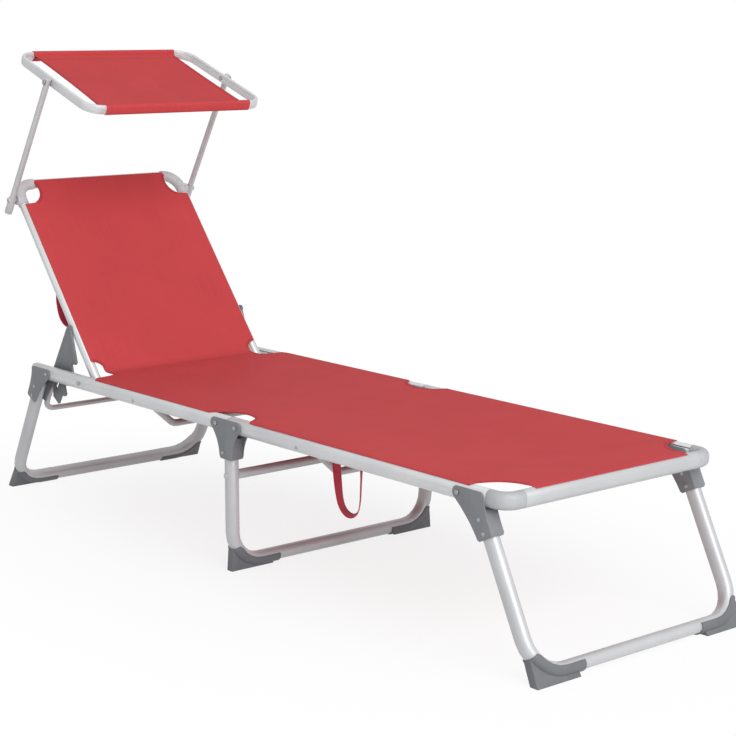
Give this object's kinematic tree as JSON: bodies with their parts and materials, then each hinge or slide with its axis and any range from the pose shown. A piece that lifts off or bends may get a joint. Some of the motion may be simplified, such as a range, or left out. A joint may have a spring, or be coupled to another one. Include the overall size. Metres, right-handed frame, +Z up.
{
  "type": "sun lounger",
  "caption": "Folding sun lounger with tubular legs, slung mesh seat, ratchet backrest and a tilting sunshade.",
  "frame": {"origin": "on the ground, under the middle of the whole lounger's box", "axes": "+Z up, +X towards the foot end, +Y towards the left side as seen by a person sitting in it"},
  "size_m": [1.8252, 0.56, 1.0398],
  "materials": {
    "rail": "satin",
    "leg": "satin",
    "plastic": "matt",
    "elbow": "matt",
    "rack": "matt",
    "pin": "bright",
    "sling": "open woven mesh",
    "strap": "webbing",
    "cap": "matt"
  },
  "bodies": {
    "seat_frame": {"seat_rail_right": "rail", "seat_rail_left": "rail", "seat_rail_cap_right": "cap", "seat_rail_cap_left": "cap", "rack_stud_right": "pin", "rack_stud_left": "pin", "seat_cross_tube": "leg", "seat_sling": "sling", "crease_sling": "sling"},
    "middle_leg": {"middle_leg_tube": "leg", "middle_crossbar": "leg", "middle_bracket_right": "plastic", "middle_bracket_left": "plastic", "middle_foot_right": "plastic", "middle_foot_left": "plastic", "middle_pin_head_right": "pin", "middle_pin_head_left": "pin", "middle_pin_foot_right": "pin", "middle_pin_foot_left": "pin"},
    "foot_section": {"foot_rail_right": "rail", "foot_rail_left": "rail", "foot_elbow_right": "elbow", "foot_elbow_left": "elbow", "foot_end_bar": "rail", "foot_cross_tube": "leg", "foot_sling": "sling", "foot_strap": "strap"},
    "foot_leg": {"foot_leg_tube": "leg", "foot_leg_bracket_right": "plastic", "foot_leg_bracket_left": "plastic", "foot_leg_foot_right": "plastic", "foot_leg_foot_left": "plastic", "foot_leg_pin_right": "pin", "foot_leg_pin_left": "pin"},
    "head_leg": {"head_leg_tube": "leg", "head_leg_bracket_right": "plastic", "head_leg_bracket_left": "plastic", "head_leg_foot_right": "plastic", "head_leg_foot_left": "plastic", "head_leg_pin_right": "pin", "head_leg_pin_left": "pin"},
    "backrest": {"backrest_frame": "rail", "backrest_sleeve_right": "elbow", "backrest_sleeve_left": "elbow", "backrest_pin_right": "pin", "backrest_pin_left": "pin", "backrest_sling": "sling", "backrest_strap": "strap"},
    "support_bar": {"support_bar": "leg", "support_rack_right": "rack", "support_rack_left": "rack"},
    "canopy_arms": {"canopy_rod_right": "leg", "canopy_rod_left": "leg"},
    "canopy": {"canopy_frame": "leg", "canopy_cover": "sling", "canopy_screw_right": "pin", "canopy_screw_left": "pin"}
  },
  "joints": [
    {"name": "middle_leg_fold", "type": "hinge", "parent": "seat_frame", "child": "middle_leg", "pos_m": [-0.01371, 0, 0.306], "axis": [0, 1, 0], "range_deg": [0, 82]},
    {"name": "foot_section_fold", "type": "hinge", "parent": "middle_leg", "child": "foot_section", "pos_m": [0.05229, 0, 0.306], "axis": [0, 1, 0], "range_deg": [0, 80]},
    {"name": "foot_leg_fold", "type": "hinge", "parent": "foot_section", "child": "foot_leg", "pos_m": [0.71329, 0, 0.306], "axis": [0, 1, 0], "range_deg": [0, 115], "deforming": ["foot_strap"]},
    {"name": "head_leg_fold", "type": "hinge", "parent": "seat_frame", "child": "head_leg", "pos_m": [-0.69471, 0, 0.306], "axis": [0, -1, 0], "range_deg": [0, 110]},
    {"name": "backrest_tilt", "type": "hinge", "parent": "seat_frame", "child": "backrest", "pos_m": [-0.55571, 0, 0.306], "axis": [0, 1, 0], "range_deg": [-50.7, 84], "deforming": ["crease_sling"]},
    {"name": "support_bar_swing", "type": "hinge", "parent": "backrest", "child": "support_bar", "pos_m": [-0.64565, 0, 0.41589], "axis": [0, 1, 0], "range_deg": [0, 100]},
    {"name": "canopy_arm_swing", "type": "hinge", "parent": "backrest", "child": "canopy_arms", "pos_m": [-0.87367, 0, 0.69447], "axis": [0, -1, 0], "range_deg": [-40, 120]},
    {"name": "canopy_tilt", "type": "hinge", "parent": "canopy_arms", "child": "canopy", "pos_m": [-0.69986, 0, 0.97263], "axis": [0, 1, 0], "range_deg": [-60, 70]}
  ]
}
